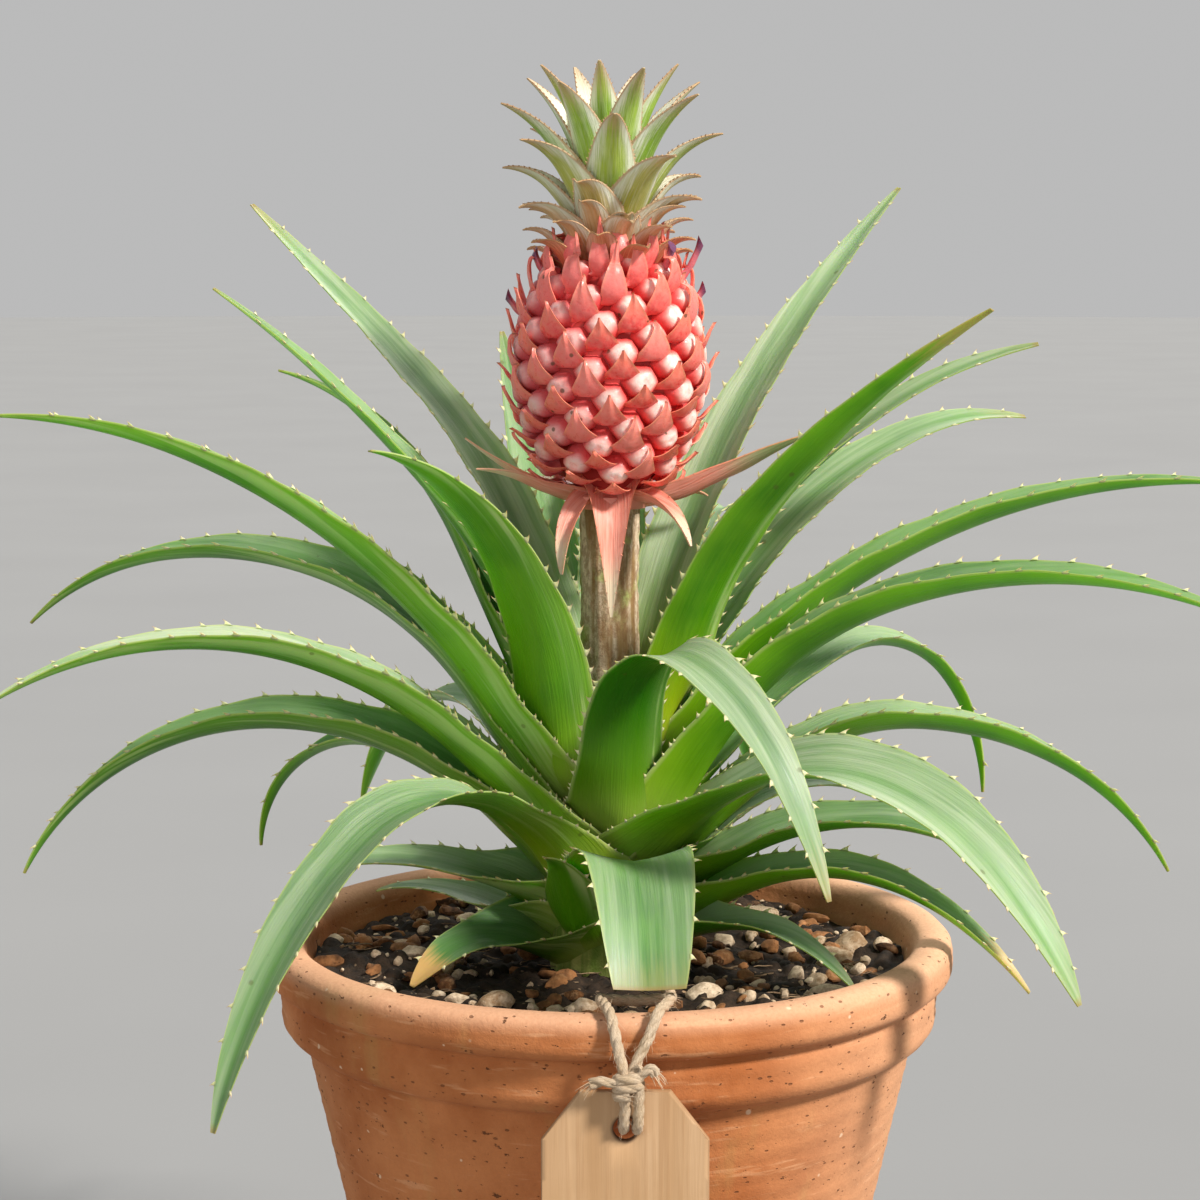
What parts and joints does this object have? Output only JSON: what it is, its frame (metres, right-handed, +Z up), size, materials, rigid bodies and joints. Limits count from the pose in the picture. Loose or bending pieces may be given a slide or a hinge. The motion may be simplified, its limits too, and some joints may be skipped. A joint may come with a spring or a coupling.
{
  "type": "potted ornamental pineapple plant",
  "caption": "Ornamental pineapple in a clay pot: spined arching leaves, a small red fruit with its leafy crown on a stalk, and a blank wooden name tag on twine.",
  "frame": {"origin": "centre of the pot's foot, on the surface that it stands on", "axes": "+Z up along the pot's axis, -Y towards the front where the tag hangs, +X to the viewer's right"},
  "size_m": [0.4124, 0.3081, 0.4834],
  "materials": {
    "terracotta": "matt unglazed clay with pits and ochre stains",
    "soil": "dark potting mix with pumice and bark",
    "stem": "scurfy green and brown stalk",
    "leaf": "waxy green blade, silvery on its upper face",
    "bract": "waxy pink",
    "fruit": "glossy coral red fruitlets",
    "crown": "waxy green with a silver bloom",
    "tag_wood": "bare birch",
    "jute": "twisted natural fibre"
  },
  "bodies": {
    "root": {"crown": "crown", "fruit": "fruit", "fruit_bracts": "bract", "leaf_back_01": "leaf", "leaf_back_02": "leaf", "leaf_back_03": "leaf", "leaf_back_04": "leaf", "leaf_back_05": "leaf", "leaf_back_06": "leaf", "leaf_back_07": "leaf", "leaf_back_08": "leaf", "leaf_front_01": "leaf", "leaf_front_cut": "leaf", "leaf_left_01": "leaf", "leaf_left_02": "leaf", "leaf_left_03": "leaf", "leaf_left_04": "leaf", "leaf_left_05": "leaf", "leaf_left_06": "leaf", "leaf_left_07": "leaf", "leaf_left_08": "leaf", "leaf_left_09": "leaf", "leaf_left_10": "leaf", "leaf_left_11": "leaf", "leaf_left_12": "leaf", "leaf_left_13": "leaf", "leaf_right_01": "leaf", "leaf_right_02": "leaf", "leaf_right_03": "leaf", "leaf_right_04": "leaf", "leaf_right_05": "leaf", "leaf_right_06": "leaf", "leaf_right_07": "leaf", "leaf_right_08": "leaf", "leaf_right_09": "leaf", "leaf_right_10": "leaf", "leaf_right_11": "leaf", "leaf_right_12": "leaf", "leaf_right_13": "leaf", "leaf_right_14": "leaf", "leaf_right_15": "leaf", "pot": "terracotta", "soil": "soil", "stem": "stem", "tag": "tag_wood", "twine": "jute"}
  },
  "joints": []
}
